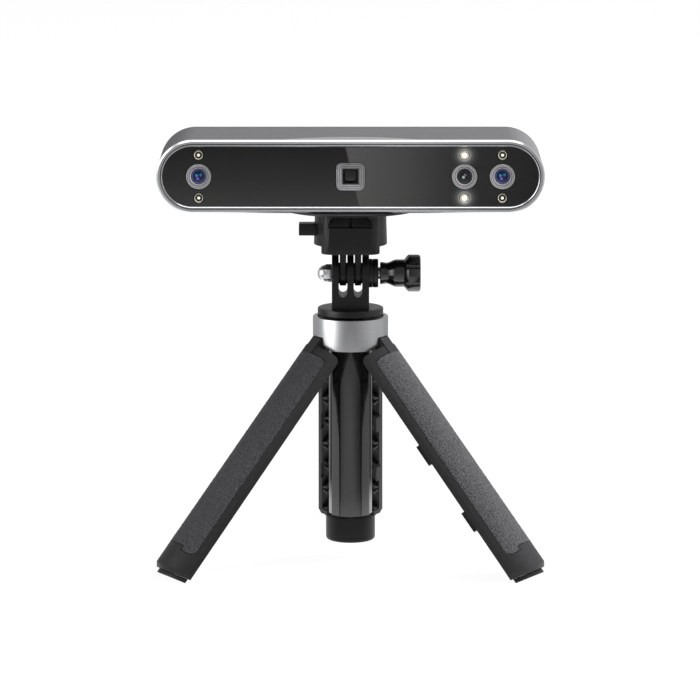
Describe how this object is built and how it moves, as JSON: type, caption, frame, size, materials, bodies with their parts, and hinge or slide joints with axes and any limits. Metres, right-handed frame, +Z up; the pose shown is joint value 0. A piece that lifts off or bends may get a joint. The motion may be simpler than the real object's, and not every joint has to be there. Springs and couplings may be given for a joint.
{
  "type": "three-d scanner",
  "caption": "Slim horizontal scanner head with a glass front over camera and projector windows, on a quick-release clamp, tilt joint and folding mini tripod with an extending column.",
  "frame": {"origin": "on the ground under the middle of the object's outline in X and Y", "axes": "+X along the scanner head to the thumbscrew's side, +Y from the glass front to the back, +Z up along the column"},
  "size_m": [0.154, 0.1376, 0.172],
  "materials": {
    "grey_aluminium": "bead-blasted grey anodised",
    "bright_aluminium": "bright cut edge",
    "satin_silver": "satin silver anodised",
    "chrome": "polished",
    "brass": "turned",
    "spring_steel": "ground",
    "black_glass": "tinted black, polished",
    "lens_glass": "coated, polished",
    "lamp_emitter": "clear domed",
    "hood_plastic": "fine satin",
    "matte_plastic": "fine moulded texture",
    "gloss_plastic": "glossy moulded",
    "leg_plastic": "satin moulded",
    "grip_rubber": "stippled",
    "foot_rubber": "smooth",
    "board_green": "solder mask",
    "tube_gloss": "gloss black anodised"
  },
  "bodies": {
    "tripod_base": {"collar": "satin_silver", "collar_hub": "matte_plastic", "left_leg_hinge_pin": "spring_steel", "right_leg_hinge_pin": "spring_steel", "rear_leg_hinge_pin": "spring_steel", "column_outer_tube": "tube_gloss", "column_cap": "matte_plastic"},
    "left_leg": {"left_leg_shell": "leg_plastic", "left_leg_grip": "grip_rubber", "left_leg_foot": "foot_rubber"},
    "right_leg": {"right_leg_shell": "leg_plastic", "right_leg_grip": "grip_rubber", "right_leg_foot": "foot_rubber"},
    "rear_leg": {"rear_leg_shell": "leg_plastic", "rear_leg_grip": "grip_rubber", "rear_leg_foot": "foot_rubber"},
    "middle_stage": {"column_mid_tube": "tube_gloss", "column_mid_bush": "foot_rubber"},
    "top_stage": {"column_inner_tube": "tube_gloss", "column_inner_bush": "foot_rubber", "tilt_base": "matte_plastic", "head_pin": "spring_steel", "acorn_nut": "chrome"},
    "thumbscrew": {"thumbscrew_shaft": "spring_steel", "thumbscrew_knob": "gloss_plastic"},
    "scanner_head": {"clamp_body": "matte_plastic", "mount_plate": "matte_plastic", "mount_pad": "foot_rubber", "mount_screw": "spring_steel", "scanner_housing": "grey_aluminium", "front_bezel": "bright_aluminium", "front_glass": "black_glass", "projector_hood": "hood_plastic", "projector_lens": "lens_glass", "optics_bracket": "matte_plastic", "left_camera_barrel": "hood_plastic", "colour_camera_barrel": "hood_plastic", "right_camera_barrel": "hood_plastic", "left_camera_lens": "lens_glass", "colour_camera_lens": "lens_glass", "right_camera_lens": "lens_glass", "left_camera_lamp_upper": "lamp_emitter", "left_camera_lamp_lower": "lamp_emitter", "colour_camera_lamp_upper": "lamp_emitter", "colour_camera_lamp_lower": "lamp_emitter", "right_camera_lamp_upper": "lamp_emitter", "right_camera_lamp_lower": "lamp_emitter", "main_board": "board_green", "usb_c_socket": "spring_steel", "rear_cover": "matte_plastic", "status_light_pipe": "lamp_emitter", "thread_insert": "brass"},
    "clamp_release": {"release_button": "matte_plastic", "release_spring": "spring_steel"},
    "minus_key": {"minus_button": "gloss_plastic"},
    "scan_key": {"scan_button": "gloss_plastic"},
    "plus_key": {"plus_button": "gloss_plastic"}
  },
  "joints": [
    {"name": "left_leg_fold", "type": "hinge", "parent": "tripod_base", "child": "left_leg", "pos_m": [-0.00866, -0.02277, 0.08981], "axis": [0.5, -0.866, 0], "range_deg": [0, 39.6]},
    {"name": "right_leg_fold", "type": "hinge", "parent": "tripod_base", "child": "right_leg", "pos_m": [0.00866, -0.02277, 0.08981], "axis": [0.5, 0.866, 0], "range_deg": [0, 39.6]},
    {"name": "rear_leg_fold", "type": "hinge", "parent": "tripod_base", "child": "rear_leg", "pos_m": [0, -0.00777, 0.08981], "axis": [-1, 0, 0], "range_deg": [0, 39.6]},
    {"name": "column_lower_slide", "type": "slide", "parent": "tripod_base", "child": "middle_stage", "axis": [0, 0, 1], "range_m": [0, 0.058]},
    {"name": "column_upper_slide", "type": "slide", "parent": "middle_stage", "child": "top_stage", "axis": [0, 0, 1], "range_m": [0, 0.056]},
    {"name": "head_tilt", "type": "hinge", "parent": "top_stage", "child": "scanner_head", "pos_m": [0, -0.01777, 0.11571], "axis": [1, 0, 0], "range_deg": [-90, 90]},
    {"name": "thumbscrew_turn", "type": "hinge", "parent": "top_stage", "child": "thumbscrew", "pos_m": [0, -0.01777, 0.11571], "axis": [1, 0, 0], "range_deg": [0, 360]},
    {"name": "release_press", "type": "slide", "parent": "scanner_head", "child": "clamp_release", "axis": [1, 0, 0], "range_m": [0, 0.0023], "stiffness_N_per_m": 1000, "springref_m": -0.001},
    {"name": "minus_press", "type": "slide", "parent": "scanner_head", "child": "minus_key", "axis": [0, -1, 0], "range_m": [0, 0.0006], "stiffness_N_per_m": 1600, "springref_m": -0.0002},
    {"name": "scan_press", "type": "slide", "parent": "scanner_head", "child": "scan_key", "axis": [0, -1, 0], "range_m": [0, 0.0006], "stiffness_N_per_m": 1600, "springref_m": -0.0002},
    {"name": "plus_press", "type": "slide", "parent": "scanner_head", "child": "plus_key", "axis": [0, -1, 0], "range_m": [0, 0.0006], "stiffness_N_per_m": 1600, "springref_m": -0.0002}
  ]
}
